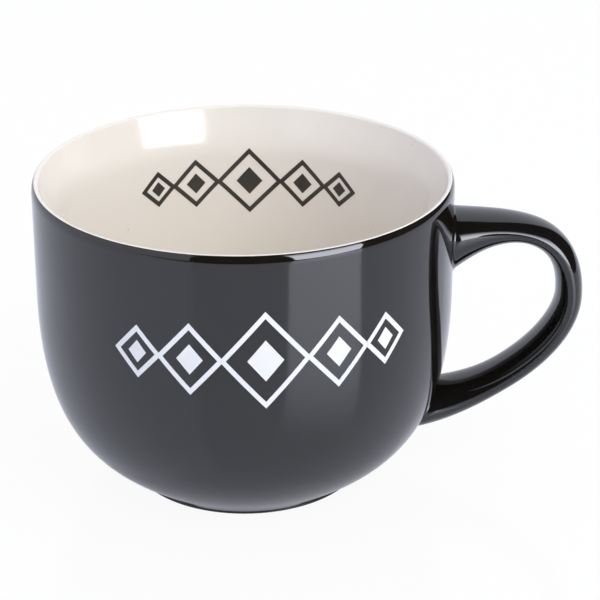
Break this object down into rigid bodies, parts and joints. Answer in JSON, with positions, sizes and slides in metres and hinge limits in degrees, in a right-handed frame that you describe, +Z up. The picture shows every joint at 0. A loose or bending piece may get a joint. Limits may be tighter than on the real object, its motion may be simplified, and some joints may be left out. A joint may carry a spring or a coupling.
{
  "type": "coffee cup",
  "caption": "Wide round-bellied stoneware cup with a strap handle, glazed black outside and cream inside, for holding and drinking coffee or soup.",
  "frame": {"origin": "on the table, at the middle of the cup's length over its handle", "axes": "+X towards the handle, +Z up from the foot ring to the lip, -Y towards the side with the outer print"},
  "size_m": [0.1556, 0.1182, 0.09],
  "materials": {
    "bisque_clay": "bare fired stoneware",
    "dried_slip": "fired slip",
    "cream_glaze": "glossy cream glaze",
    "black_glaze": "glossy black glaze",
    "white_enamel": "satin white enamel",
    "dark_enamel": "satin black enamel"
  },
  "bodies": {
    "root": {"stoneware_body": "bisque_clay", "handle": "bisque_clay", "upper_slip_joint": "dried_slip", "lower_slip_joint": "dried_slip", "liner_glaze": "cream_glaze", "outer_glaze": "black_glaze", "handle_glaze": "black_glaze", "base_glaze": "black_glaze", "outer_print": "white_enamel", "inner_print": "dark_enamel"}
  },
  "joints": []
}
